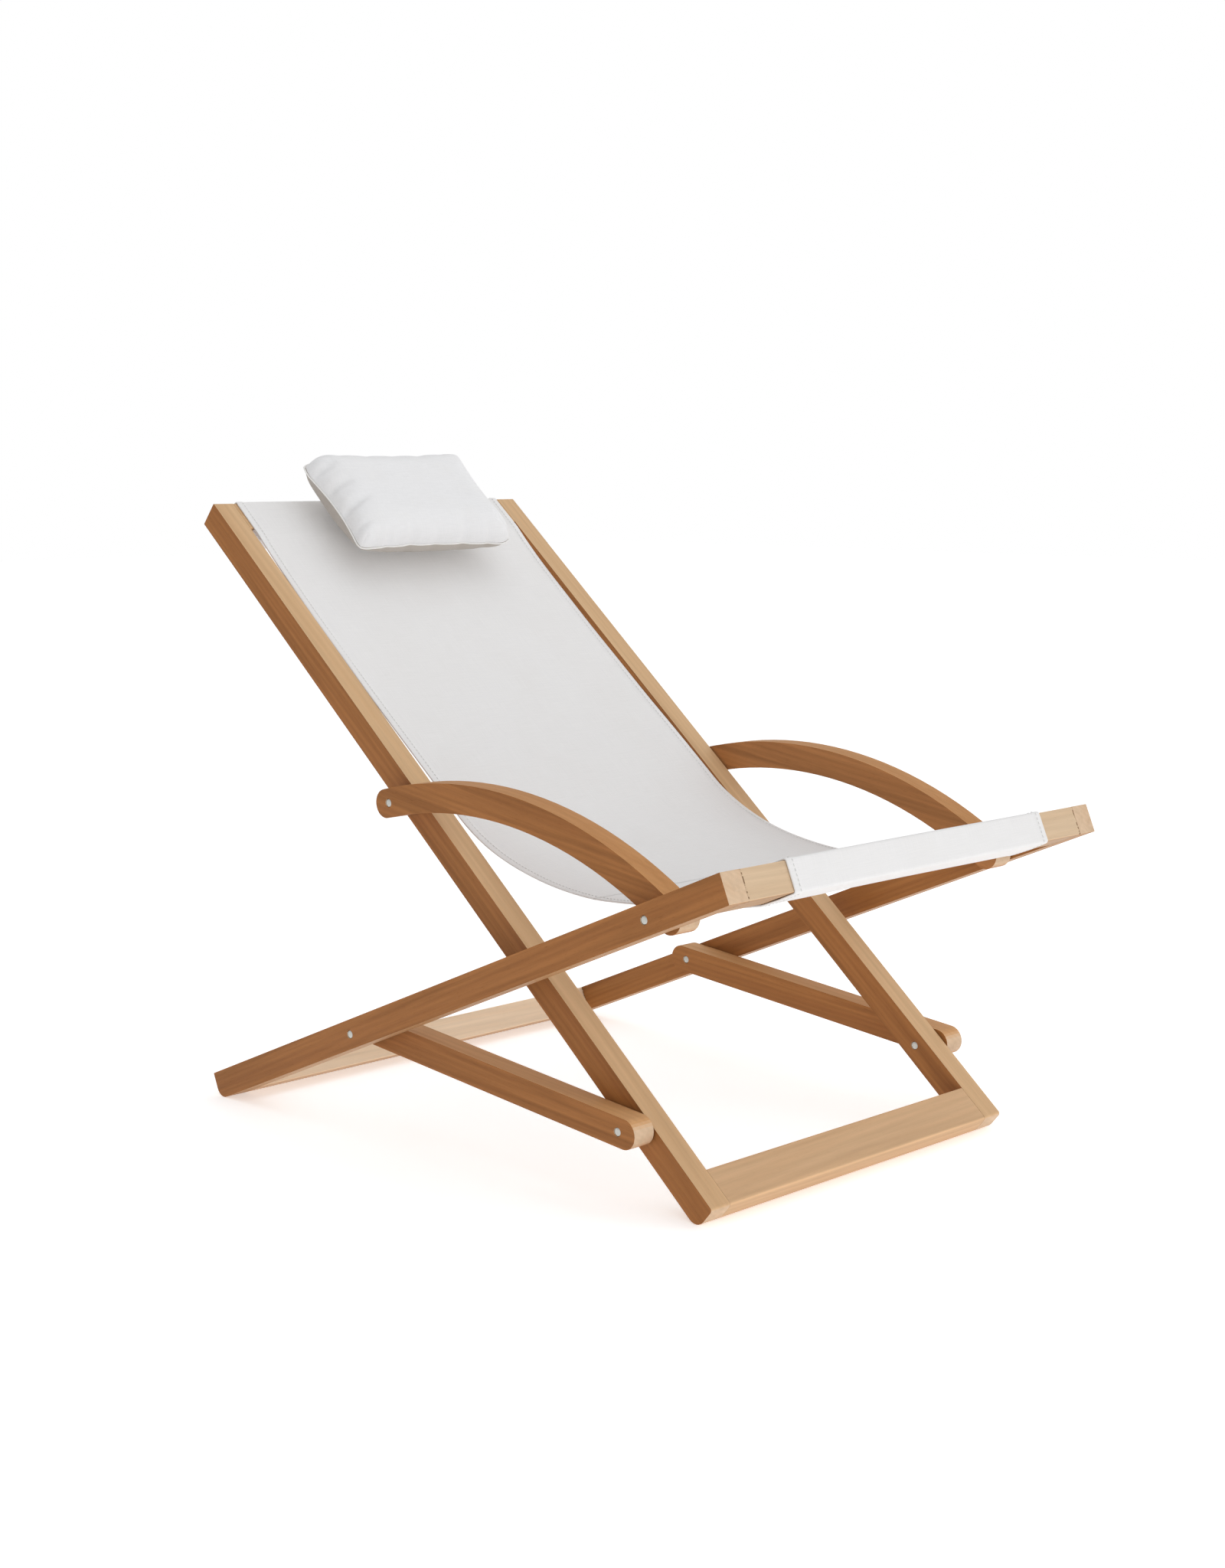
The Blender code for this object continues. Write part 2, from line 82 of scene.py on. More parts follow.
# Cloth
CLOTH = 0.0012
CLOTH_GAP = 0.0005
HEM = 0.011
STITCH = 0.0034
STITCH_GAP = 0.0018
STITCH_INSET = 0.0028   # from a hem's inner edge to its row of stitches
THREAD_HALF_WIDTH = 0.00042
THREAD_HALF_HEIGHT = 0.0003
LIFT = 0.0004
WRAP_STEP = 0.0022      # between the points of a loop round a bar
ROW_FADE = 0.08         # length over which the cloth's slight waves fade out at an end

# The sling's side-view line: three curves, from the top bar to the bend, the lowest line and the front bar
BACK_SAG = 0.0127       # how far the upper handle of the back's curve lies behind the straight line
SAG_PULL = (0.110, 0.100)   # how far the back's curve keeps each direction, from the top bar to the bend
BEND_DIP = -0.0003      # how far the cloth lies behind the rails' faces where it starts to bend
STRAIGHT_BACK = 0.542   # from the top of the back rails to where the cloth starts to bend
SEAT_LOW = (0.188, 0.3145)   # lowest line of the sling: distance forward of the origin, height
SEAT_RISE = math.radians(4.8)   # slope of the cloth where it meets the front bar
BEND_PULL = (0.103, 0.014)   # the same for the bend, from the back to the low line
RISE_PULL = (0.077, 0.021)   # the same for the seat, from the low line to the front bar
LINE_STEP = 0.006
TOP_SLEEVE = 0.012      # from the top bar to where the back's curve starts

# The head pillow, in the back's frame: its seam lies well in front of the sling
PILLOW_FROM_TOP = 0.0595
PILLOW_SEAM_OUT = 0.0470
PILLOW_HALF_WIDTH = 0.1335
PILLOW_HALF_LENGTH = 0.0835
PILLOW_FRONT = 0.0272
PILLOW_REAR = 0.0445
PILLOW_CORNER = 0.013
PILLOW_ROUND_CORNER = 0.034
PILLOW_PULL_LEFT = 0.0095
PILLOW_PULL_RIGHT = 0.0075
PILLOW_PULL_ENDS = 0.0045
PILLOW_COLUMNS = 64
PILLOW_ROWS = 42
PILLOW_MOST_MOVED = 0.0025
WELT = 0.0010
# Pleats: where on the edge (-1 to 1), slant, half width, reach inwards, depth
SIDE_PLEATS = ((0.58, 0.10, 0.0050, 0.020, 0.0042), (0.20, 0.05, 0.0055, 0.022, 0.0056),
               (-0.30, 0.25, 0.0058, 0.026, 0.0078), (-0.72, 0.20, 0.0045, 0.016, 0.0026))
END_PLEATS = ((-0.62, 0.007, 0.014, 0.0018), (-0.30, 0.008, 0.016, 0.0022), (0.05, 0.007, 0.014, 0.0016),
              (0.36, 0.009, 0.018, 0.0024), (0.66, 0.006, 0.012, 0.0014))

SIDES = {"left": 1, "right": -1}


def place_frame(slope, local_point, target):
    """Placement of a side-view frame, sloping up towards +Y, whose local (y, z) point is on the target."""
    turn = Matrix.Rotation(slope, 4, "X")
    turned = turn @ Vector((0, *local_point))
    return Matrix.Translation(Vector((0, *target)) - turned) @ turn


# In both frames z = 0 is the face that the sitter is on. The seat's y runs down from its front end,
# the back's y runs up from its foot.
SEAT = place_frame(-SEAT_SLOPE, (SEAT_LENGTH - HEEL, HEEL - DEPTH), (HALF_FOOTPRINT, HEEL))
BACK = place_frame(BACK_SLOPE, (HEEL, HEEL - DEPTH), (-HALF_FOOTPRINT, HEEL))


# Materials

class Graph:
    """A material's nodes, wired by name."""

    def __init__(self, name):
        self.material = bpy.data.materials.new(name)
        self.material.use_nodes = True
        self.nodes = self.material.node_tree.nodes
        self.links = self.material.node_tree.links
        self.shader = self.nodes["Principled BSDF"]

    def add(self, kind, inputs=None, **settings):
        node = self.nodes.new(kind)
        for key, value in settings.items():
            setattr(node, key, value)
        for key, value in (inputs or {}).items():
            self.put(node.inputs[key], value)
        return node

    def put(self, socket, value):
        if isinstance(value, bpy.types.NodeSocket):
            self.links.new(value, socket)
        else:
            socket.default_value = value

    def math(self, operation, a, b=0.0):
        node = self.add("ShaderNodeMath", operation=operation)
        self.put(node.inputs[0], a)
        self.put(node.inputs[1], b)
        return node.outputs[0]

    def remap(self, value, low, high, to_low=0.0, to_high=1.0):
        node = self.add("ShaderNodeMapRange", {"From Min": low, "From Max": high, "To Min": to_low,
                                               "To Max": to_high, "Value": value}, clamp=True)
        return node.outputs["Result"]

    def mix(self, factor, a, b, blend="MIX"):
        node = self.add("ShaderNodeMix", data_type="RGBA", blend_type=blend)
        self.put(node.inputs[0], factor)
        self.put(node.inputs[6], (*a, 1) if isinstance(a, tuple) else a)
        self.put(node.inputs[7], (*b, 1) if isinstance(b, tuple) else b)
        return node.outputs[2]

    def tone(self, value):
        """A grey from a number, for multiplying a colour."""
        return self.add("ShaderNodeCombineColor", {"Red": value, "Green": value, "Blue": value}).outputs[0]

    def noise(self, vector, scale, detail=2.0, rough=0.5, distort=0.0):
        return self.add("ShaderNodeTexNoise", {"Vector": vector, "Scale": scale, "Detail": detail,
                                               "Roughness": rough, "Distortion": distort}).outputs["Fac"]

    def stretch(self, vector, scale, offset=(0, 0, 0)):
        node = self.add("ShaderNodeMapping", {"Vector": vector, "Scale": scale, "Location": offset})
        return node.outputs[0]

    def bump(self, height, distance, strength):
        node = self.add("ShaderNodeBump", {"Height": height, "Distance": distance, "Strength": strength})
        return node.outputs[0]


def wood(name, seed, slope=0.0, across=False, joint=None, side=(0.335, 0.128, 0.034),
         edge=(0.61, 0.395, 0.215), end=(0.65, 0.47, 0.315)):
    """Oiled hardwood. The grain runs along a slope in the side view, or across the chair. Where joint is
    given, the bar is darker in spots at that distance from the chair's middle."""
    g = Graph(name)
    coords = g.add("ShaderNodeTexCoord")
    turn = (slope, 0, math.pi / 2 if across else 0)
    along = g.add("ShaderNodeMapping", {"Vector": coords.outputs["Object"], "Rotation": turn}).outputs[0]
    normal = g.add("ShaderNodeMapping", {"Vector": coords.outputs["Normal"], "Rotation": turn},
                   vector_type="NORMAL").outputs[0]
    parts = g.add("ShaderNodeSeparateXYZ", {"Vector": normal}).outputs
    facing_side = g.math("ABSOLUTE", parts[0])
    facing_end = g.math("ABSOLUTE", parts[1])
    facing_edge = g.math("ABSOLUTE", parts[2])
    shift = (seed * 0.37, seed * 1.91, seed * 0.73)

    streaks = g.noise(g.stretch(along, (95, 3.2, 95), shift), 1.0, 3.0, 0.55, 0.6)
    figure = g.noise(g.stretch(along, (30, 1.1, 30), shift), 1.0, 2.0, 0.5, 1.4)
    rings = g.add("ShaderNodeTexWave", {"Vector": g.stretch(along, (1.0, 0.035, 1.35), shift), "Scale": 62.0,
                                        "Distortion": 5.5, "Detail": 2.5, "Detail Scale": 0.6,
                                        "Detail Roughness": 0.55},
                  wave_type="BANDS", bands_direction="DIAGONAL").outputs["Fac"]
    fibres = g.noise(g.stretch(along, (1500, 26, 1500), shift), 1.0, 2.0, 0.6)
    pores = g.noise(g.stretch(along, (2300, 120, 2300), shift), 1.0, 1.0, 0.5)

    # Side faces take the darker side colour: partly the face grain's own colour, partly painted shade
    is_edge = g.remap(facing_side, 0.45, 0.85, 1.0, 0.0) if not across else 1.0
    is_end = g.remap(facing_end, 0.60, 0.90)
    # Downward faces take a darker copy of the edge colour: painted shade
    shaded_below = g.remap(parts[2], -0.85, -0.45, 1.0, 0.0)
    faces = g.mix(shaded_below, edge, tuple(part * share for part, share in zip(edge, UNDERSIDE_PAINTED_SHADE)))
    colour = g.mix(is_edge, side, faces)
    colour = g.mix(is_end if not across else 0.0, colour, end)
    darker = g.remap(streaks, 0.42, 0.72, 1.05, 0.80)
    broad = g.remap(figure, 0.35, 0.68, 1.06, 0.88)
    ringed = g.remap(rings, 0.0, 1.0, 1.04, 0.94)
    fine = g.remap(fibres, 0.30, 0.70, 1.05, 0.94)
    pored = g.remap(pores, 0.66, 0.78, 1.0, 0.74)
    tone = g.math("MULTIPLY", g.math("MULTIPLY", darker, broad), g.math("MULTIPLY", ringed, fine))
    tone = g.math("MULTIPLY", tone, pored)
    softer = g.math("MULTIPLY", is_edge, 0.55)
    tone = g.add("ShaderNodeMix", {0: softer, 2: tone, 3: 1.0}, data_type="FLOAT").outputs[0]
    colour = g.mix(1.0, colour, g.tone(tone), "MULTIPLY")
    warmer = g.mix(1.0, colour, (1.06, 0.93, 0.80), "MULTIPLY")
    red = g.mix(g.remap(figure, 0.40, 0.70, 0.0, 0.30), colour, warmer)
    # Rounded arrises, whose normals lie between the faces', get a lighter colour: a painted highlight, broken
    # up by the streaks
    biggest = g.math("MAXIMUM", facing_side, g.math("MAXIMUM", facing_edge, facing_end))
    least, most = (0.70, 1.0) if across else (0.15, 0.40)
    edge_highlight = g.math("MULTIPLY", g.remap(biggest, 0.80, 0.97, 1.0, 0.0), g.remap(streaks, 0.3, 0.6, least, most))
    colour = g.mix(edge_highlight, red, g.mix(1.0, red, EDGE_HIGHLIGHT, "MULTIPLY"))
    if joint:
        places = g.add("ShaderNodeSeparateXYZ", {"Vector": coords.outputs["Object"]}).outputs
        near = g.remap(g.math("ABSOLUTE", places[0]), joint - 0.0016, joint - 0.0009)
        patches = g.noise(g.stretch(coords.outputs["Object"], (20, 320, 320), shift), 1.0, 1.0)
        spots = g.remap(patches, 0.44, 0.50)
        colour = g.mix(g.math("MULTIPLY", near, spots), colour, g.mix(1.0, colour, JOINT_DARK, "MULTIPLY"))
    g.put(g.shader.inputs["Base Color"], colour)

    roughness = g.math("ADD", g.remap(streaks, 0.35, 0.70, 0.50, 0.60), g.remap(pores, 0.60, 0.78, 0.0, 0.14))
    g.put(g.shader.inputs["Roughness"], roughness)
    g.shader.inputs["Specular IOR Level"].default_value = 0.20
    pits = g.math("MULTIPLY", g.remap(pores, 0.64, 0.78), 0.8)
    relief = g.math("SUBTRACT", g.math("MULTIPLY", fibres, 0.6), pits)
    g.put(g.shader.inputs["Normal"], g.bump(relief, 0.00012, 0.6))
    return g.material


def canvas(name, warp=0.00085, tint=(0.84, 0.832, 0.83), soil=(0.93, 0.91, 0.885)):
    """Plain woven cotton: a fine over-and-under weave with slubs and a little shading."""
    g = Graph(name)
    coords = g.add("ShaderNodeTexCoord").outputs["UV"]
    parts = g.add("ShaderNodeSeparateXYZ", {"Vector": coords}).outputs
    turns = [g.math("MULTIPLY", parts[i], math.pi / warp) for i in (0, 1)]
    waves = [g.math("SINE", turn) for turn in turns]
    steps = [g.math("ABSOLUTE", wave) for wave in waves]
    over = g.remap(g.math("MULTIPLY", waves[0], waves[1]), -0.25, 0.25)
    threads = g.add("ShaderNodeMix", {0: over, 2: steps[0], 3: steps[1]}, data_type="FLOAT").outputs[0]
    slub_long = g.noise(g.stretch(coords, (1300, 26, 1)), 1.0, 2.0, 0.6)
    slub_wide = g.noise(g.stretch(coords, (26, 1300, 1)), 1.0, 2.0, 0.6)
    clouds = g.noise(g.stretch(coords, (9, 6, 1)), 1.0, 3.0, 0.55)
    tone = g.math("MULTIPLY", g.remap(slub_long, 0.3, 0.7, 0.975, 1.015),
                  g.remap(slub_wide, 0.3, 0.7, 0.975, 1.015))
    tone = g.math("MULTIPLY", tone, g.remap(threads, 0.0, 1.0, 0.95, 1.01))
    colour = g.mix(g.remap(clouds, 0.45, 0.80, 0.0, 0.28), tint, g.mix(1.0, tint, soil, "MULTIPLY"))
    g.put(g.shader.inputs["Base Color"], g.mix(1.0, colour, g.tone(tone), "MULTIPLY"))
    g.put(g.shader.inputs["Roughness"], g.remap(threads, 0.0, 1.0, 0.95, 0.84))
    g.shader.inputs["Specular IOR Level"].default_value = 0.2
    g.shader.inputs["Sheen Weight"].default_value = 0.12
    g.shader.inputs["Sheen Roughness"].default_value = 0.6
    fuzz = g.math("ADD", threads, g.math("MULTIPLY", slub_long, 0.5))
    g.put(g.shader.inputs["Normal"], g.bump(fuzz, 0.00016, 0.55))
    return g.material


def pillow_cotton(name, pale, shade):
    """Brushed cotton, by position, because the stuffed cover has no flat pattern left."""
    g = Graph(name)
    coords = g.add("ShaderNodeTexCoord").outputs["Object"]
    level = g.add("ShaderNodeMapping", {"Vector": coords, "Rotation": (-BACK_SLOPE, 0, 0)}).outputs[0]
    parts = g.add("ShaderNodeSeparateXYZ", {"Vector": level}).outputs
    waves = [g.math("SINE", g.math("MULTIPLY", parts[i], math.pi / 0.00065)) for i in (0, 1)]
    threads = g.math("MULTIPLY", waves[0], waves[1])
    slubs = g.noise(g.stretch(level, (70, 900, 200)), 1.0, 2.0, 0.6)
    cross = g.noise(g.stretch(level, (900, 70, 200)), 1.0, 2.0, 0.6)
    clouds = g.noise(level, 16.0, 3.0, 0.55)
    tone = g.math("MULTIPLY", g.remap(slubs, 0.3, 0.7, 0.98, 1.015), g.remap(cross, 0.3, 0.7, 0.98, 1.015))
    tone = g.math("MULTIPLY", tone, g.remap(threads, -1.0, 1.0, 0.975, 1.01))
    colour = g.mix(g.remap(clouds, 0.45, 0.8, 0.0, 0.25), pale, shade)
    g.put(g.shader.inputs["Base Color"], g.mix(1.0, colour, g.tone(tone), "MULTIPLY"))
    g.put(g.shader.inputs["Roughness"], g.remap(slubs, 0.3, 0.7, 0.86, 0.96))
    g.shader.inputs["Specular IOR Level"].default_value = 0.2
    g.shader.inputs["Sheen Weight"].default_value = 0.18
    g.shader.inputs["Sheen Roughness"].default_value = 0.6
    g.put(g.shader.inputs["Normal"], g.bump(g.math("ADD", threads, slubs), 0.00012, 0.5))
    return g.material


def thread_material(name, colour):
    g = Graph(name)
    coords = g.add("ShaderNodeTexCoord").outputs["Object"]
    twist = g.noise(coords, 2600.0, 2.0, 0.6)
    tone = g.tone(g.remap(twist, 0.3, 0.7, 0.85, 1.08))
    g.put(g.shader.inputs["Base Color"], g.mix(1.0, colour, tone, "MULTIPLY"))
    g.shader.inputs["Roughness"].default_value = 0.7
    g.put(g.shader.inputs["Normal"], g.bump(twist, 0.0001, 0.5))
    return g.material


def steel(name, colour=(0.60, 0.60, 0.56), rough=0.42, metallic=0.75):
    """Satin stainless with turning marks, a little dulled outdoors."""
    g = Graph(name)
    coords = g.add("ShaderNodeTexCoord").outputs["Object"]
    scratches = g.noise(g.stretch(coords, (400, 2600, 2600)), 1.0, 3.0, 0.6)
    dull = g.noise(coords, 420.0, 3.0, 0.6)
    tone = g.math("MULTIPLY", g.remap(scratches, 0.3, 0.7, 0.93, 1.05), g.remap(dull, 0.3, 0.7, 0.88, 1.06))
    g.put(g.shader.inputs["Base Color"], g.mix(1.0, colour, g.tone(tone), "MULTIPLY"))
    g.put(g.shader.inputs["Roughness"], g.remap(dull, 0.3, 0.7, rough - 0.08, rough + 0.12))
    g.shader.inputs["Metallic"].default_value = metallic
    g.put(g.shader.inputs["Normal"], g.bump(scratches, 0.00003, 0.5))
    return g.material


def nylon(name):
    g = Graph(name)
    coords = g.add("ShaderNodeTexCoord").outputs["Object"]
    grain = g.noise(coords, 1800.0, 2.0, 0.5)
    g.put(g.shader.inputs["Base Color"], g.mix(grain, (0.66, 0.63, 0.56), (0.56, 0.53, 0.46)))
    g.put(g.shader.inputs["Roughness"], g.remap(grain, 0.3, 0.7, 0.5, 0.66))
    g.put(g.shader.inputs["Normal"], g.bump(grain, 0.00004, 0.5))
    return g.material


def give(obj, *materials):
    obj.data.materials.clear()
    for material in materials:
        obj.data.materials.append(material)


def dress_cad_nodes():
    """Materials for the timber, dowels, bolts and spacers that stay as the CAD made them."""
    bar_slopes = {"seat": SEAT_SLOPE, "back": -BACK_SLOPE}
    pieces = {"seat_rail": (SEAT_SLOPE, RAIL_EDGE), "back_rail": (-BACK_SLOPE, RAIL_EDGE),
              "armrest": (-ARM_CHORD, ARMREST_EDGE), "strut": (-STRUT_CHORD, STRUT_EDGE)}
    seed = 1.0
    for name, colour in BAR_FACES.items():
        joint = SEAT_BAR_END if name.startswith("seat") else None
        slope = bar_slopes[name.split("_")[0]]
        give(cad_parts[name], wood(f"timber_{name}", seed, slope, across=True, joint=joint, edge=colour))
        seed += 1.0
    for start, (slope, edge) in pieces.items():
        for word in SIDES:
            name = f"{start}_{word}"
            side = FAR_ARMREST_SIDE if name == "armrest_left" else TIMBER_SIDE
            give(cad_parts[name], wood(f"timber_{name}", seed, slope, side=side, edge=edge))
            seed += 1.0
    beech = wood("beech_dowels", 40.0, 0.0, across=True, edge=(0.60, 0.44, 0.28))
    bright, plastic = steel("bolt_steel"), nylon("spacer_nylon")
    for name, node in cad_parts.items():
        if "_dowel_" in name:
            give(node, beech)
        elif name.endswith(("_bolt", "_nut")):
            give(node, bright)
        elif name.endswith("_spacer"):
            give(node, plastic)


# Cloth pieces

def bezier(*corners):
    """Points about one step apart on a curve in the side view, without its last point."""
    a, b, c, d = (np.array(corner, float) for corner in corners)
    length = sum(np.linalg.norm(after - before) for before, after in ((a, b), (b, c), (c, d)))
    count = max(1, round(length / LINE_STEP))
    t = (np.arange(count) / count)[:, None]
    return a * (1 - t) ** 3 + b * 3 * t * (1 - t) ** 2 + c * 3 * t ** 2 * (1 - t) + d * t ** 3


def round_wrap(frame_matrix, corners, radius):
    """A line round a bar's section, its corners (y, z) rounded, as world (y, z)."""
    corners = [Vector(corner) for corner in corners]
    line = [corners[0]]
    for before, corner, after in zip(corners, corners[1:], corners[2:]):
        way_in, way_out = (before - corner).normalized(), (after - corner).normalized()
        half = way_in.angle(way_out) / 2
        reach = min(radius / math.tan(half), (before - corner).length * 0.45, (after - corner).length * 0.45)
        start, end = corner + way_in * reach, corner + way_out * reach
        for k in range(7):
            t = k / 6
            line.append(start * (1 - t) ** 2 + corner * 2 * t * (1 - t) + end * t * t)
    line.append(corners[-1])
    dense = []
    for a, b in zip(line, line[1:]):
        count = max(1, round((b - a).length / WRAP_STEP))
        dense += [a.lerp(b, k / count) for k in range(count)]
    dense.append(line[-1])
    world = [frame_matrix @ Vector((0, point.x, point.y)) for point in dense]
    return np.array([(point.y, point.z) for point in world])


def strip_mesh(name, line, normal, half_width, thickness, hem, ripple):
    """A cloth strip along a side-view line, closed, thicker at its hems, with UVs in metres."""
    across = [-half_width, -half_width + 0.0012, -half_width + hem - 0.0015, -half_width + hem]
    inner = np.linspace(-half_width + hem + 0.004, half_width - hem - 0.004, 37)
    across = np.array(across + list(inner) + [-x for x in reversed(across)])
    along = np.concatenate(([0], np.cumsum(np.linalg.norm(np.diff(line, axis=0), axis=1))))
    rows, columns = len(line), len(across)
    from_edge = half_width - np.abs(across)
    half_thick = np.where(from_edge < 0.0006, 0.45, np.where(from_edge < hem - 0.0005, 0.85, 0.5)) * thickness
    mesh = bmesh.new()
    uv = mesh.loops.layers.uv.new("UVMap")
    layers = []
    for way in (1, -1):
        grid = []
        for i in range(rows):
            wave = ripple(along[i], across)
            points = line[i] + normal[i] * (way * half_thick + wave)[:, None]
            grid.append([mesh.verts.new((across[j], points[j][0], points[j][1])) for j in range(columns)])
        layers.append(grid)

    def face(corners, spots, smooth=True):
        made = mesh.faces.new(corners)
        made.smooth = smooth
        for loop, (i, j) in zip(made.loops, spots):
            loop[uv].uv = (across[j], along[i])

    for grid, flip in zip(layers, (False, True)):
        for i in range(rows - 1):
            for j in range(columns - 1):
                spots = [(i, j), (i, j + 1), (i + 1, j + 1), (i + 1, j)]
                spots = spots[::-1] if flip else spots
                face([grid[a][b] for a, b in spots], spots)
    top, bottom = layers
    rim = ([(i, 0) for i in range(rows)] + [(rows - 1, j) for j in range(1, columns)]
           + [(i, columns - 1) for i in reversed(range(rows - 1))]
           + [(0, j) for j in reversed(range(1, columns - 1))])
    for a, b in zip(rim, rim[1:] + rim[:1]):
        face([top[a[0]][a[1]], top[b[0]][b[1]], bottom[b[0]][b[1]], bottom[a[0]][a[1]]], [a, b, b, a],
             smooth=a[0] != b[0])
    bmesh.ops.recalc_face_normals(mesh, faces=mesh.faces)
    data = bpy.data.meshes.new(name)
    mesh.to_mesh(data)
    mesh.free()
    obj = bpy.data.objects.new(name, data)
    bpy.context.scene.collection.objects.link(obj)
    return obj


def add_stitches(obj, spots, material_index):
    """Joins little sewn threads into a mesh: each spot is (middle, direction, up)."""
    mesh = bmesh.new()
    mesh.from_mesh(obj.data)
    for middle, direction, up in spots:
        direction, up = Vector(direction).normalized(), Vector(up).normalized()
        sideways = direction.cross(up)
        rings = []
        for along, size in ((-0.5, 0.25), (-0.3, 0.9), (0.3, 0.9), (0.5, 0.25)):
            lift = LIFT * (0.2 if abs(along) > 0.4 else 1.0)
            centre = Vector(middle) + direction * along * STITCH + up * lift
            ring = []
            for turn in range(6):
                angle = math.pi / 3 * turn
                offset = (sideways * math.cos(angle) * THREAD_HALF_WIDTH
                          + up * math.sin(angle) * THREAD_HALF_HEIGHT)
                ring.append(mesh.verts.new(centre + offset * size))
            rings.append(ring)
        faces = []
        for a, b in zip(rings, rings[1:]):
            faces += [mesh.faces.new((a[k], a[(k + 1) % 6], b[(k + 1) % 6], b[k])) for k in range(6)]
        faces.append(mesh.faces.new(rings[0][::-1]))
        faces.append(mesh.faces.new(rings[-1]))
        bmesh.ops.recalc_face_normals(mesh, faces=faces)
        for made in faces:
            made.material_index = material_index
            made.smooth = True
    mesh.to_mesh(obj.data)
    mesh.free()


def edge_stitches(line, normal, x, offset):
    """Stitches along a strip at a given x, on the side the offset points to."""
    along = np.concatenate(([0], np.cumsum(np.linalg.norm(np.diff(line, axis=0), axis=1))))
    spots = []
    at = STITCH
    while at < along[-1] - STITCH:
        point = [np.interp(at, along, line[:, k]) for k in (0, 1)]
        ahead = [np.interp(at + 0.001, along, line[:, k]) for k in (0, 1)]
        up = [np.interp(at, along, normal[:, k]) * math.copysign(1, offset) for k in (0, 1)]
        middle = (x, point[0] + up[0] * abs(offset), point[1] + up[1] * abs(offset))
        spots.append((middle, (0, ahead[0] - point[0], ahead[1] - point[1]), (0, up[0], up[1])))
        at += STITCH + STITCH_GAP
    return spots


def world_line(matrix, points):
    placed = [matrix @ Vector((0, y, z)) for y, z in points]
    return [(point.y, point.z) for point in placed]


def line_normals(line):
    """The side-view normals at a line's points."""
    tangent = np.gradient(line, axis=0)
    tangent /= np.linalg.norm(tangent, axis=1)[:, None]
    return np.column_stack((-tangent[:, 1], tangent[:, 0]))


def sling_line():
    """The sling's side-view line, from its end behind the top bar to its end behind the front bar, and the
    number of its lowest point."""
    off = CLOTH / 2 + CLOTH_GAP
    lap = CLOTH + CLOTH_GAP
    under, over = -DEPTH - off, off
    low, high = BACK_LENGTH - BAR - off, BACK_LENGTH + off
    upper = BACK_LENGTH - BAR - TOP_SLEEVE
    wrap = round_wrap(BACK, [(low - 0.020, over - lap - 0.0012), (low + 0.0004, over - lap - 0.0008),
                             (low, under), (high, under), (high, over), (upper, over)], 0.0028)
    far, near = BAR + off, -off
    loop = round_wrap(SEAT, [(far + 0.024, under + 0.0052), (far + 0.0006, under),
                             (BAR * 0.5, under - 0.0008), (near - 0.0002, under - 0.0002),
                             (near - 0.0002, over + 0.0004), (far, over),
                             (far + 0.0004, under + lap + 0.0004),
                             (far + 0.020, under + lap + 0.0050)], 0.0034)
    bend = BACK_LENGTH - STRAIGHT_BACK
    back = world_line(BACK, [(upper, over), (upper - SAG_PULL[0], over - BACK_SAG),
                             (bend + SAG_PULL[1], BEND_DIP), (bend, BEND_DIP),
                             (bend - BEND_PULL[0], BEND_DIP)])
    bottom = np.array((-SEAT_LOW[0], SEAT_LOW[1]))
    front, forward = loop[2], np.array((-1.0, 0.0))
    rise = np.array((-math.cos(SEAT_RISE), math.sin(SEAT_RISE)))
    bending = bezier(back[3], back[4], bottom - forward * BEND_PULL[1], bottom)
    down = np.vstack((wrap[:-1], bezier(*back[:4]), bending))
    up = bezier(bottom, bottom + forward * RISE_PULL[0], front - rise * RISE_PULL[1], front)
    return np.vstack((down, up, loop[2:])), len(down)


def slight_waves(total):
    """How far the cloth lies off its line, for a stretch of this length."""
    def wave(along, across):
        x = across / SLING_HALF_WIDTH
        fade = min(1.0, along / ROW_FADE, (total - along) / ROW_FADE)
        flat = 0.00022 * np.sin(along * 21) * np.cos(x * 3.1) + 0.00015 * np.sin(along * 47 + 2 * x)
        return flat * max(0.0, fade)
    return wave


def add_sling():
    """Two stretches of one cloth, parted at the sling's lowest line."""
    cloth, thread = canvas("sling_canvas"), thread_material("sling_thread", (0.72, 0.715, 0.70))
    whole, low = sling_line()
    normals = line_normals(whole)

    pieces = []
    for name, span in (("sling_back", slice(0, low + 1)), ("sling_seat", slice(low, None))):
        line, normal = whole[span], normals[span]
        total = np.linalg.norm(np.diff(line, axis=0), axis=1).sum()
        obj = strip_mesh(name, line, normal, SLING_HALF_WIDTH, CLOTH, HEM, slight_waves(total))
        give(obj, cloth, thread)
        spots = []
        reach = CLOTH * 0.85
        for side in (1, -1):
            for offset in (reach, -reach):
                spots += edge_stitches(line, normal, side * (SLING_HALF_WIDTH - HEM + STITCH_INSET), offset)
        add_stitches(obj, spots, 1)
        pieces.append((obj, total))
    back, seat = pieces
    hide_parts("sling")
    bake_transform(back[0])
    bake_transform(seat[0])


def bulge(t, power):
    """How full a cushion is at a share t of the way from its middle to its edge."""
    return np.sqrt(np.clip(1 - np.abs(t) ** power, 0, 1))


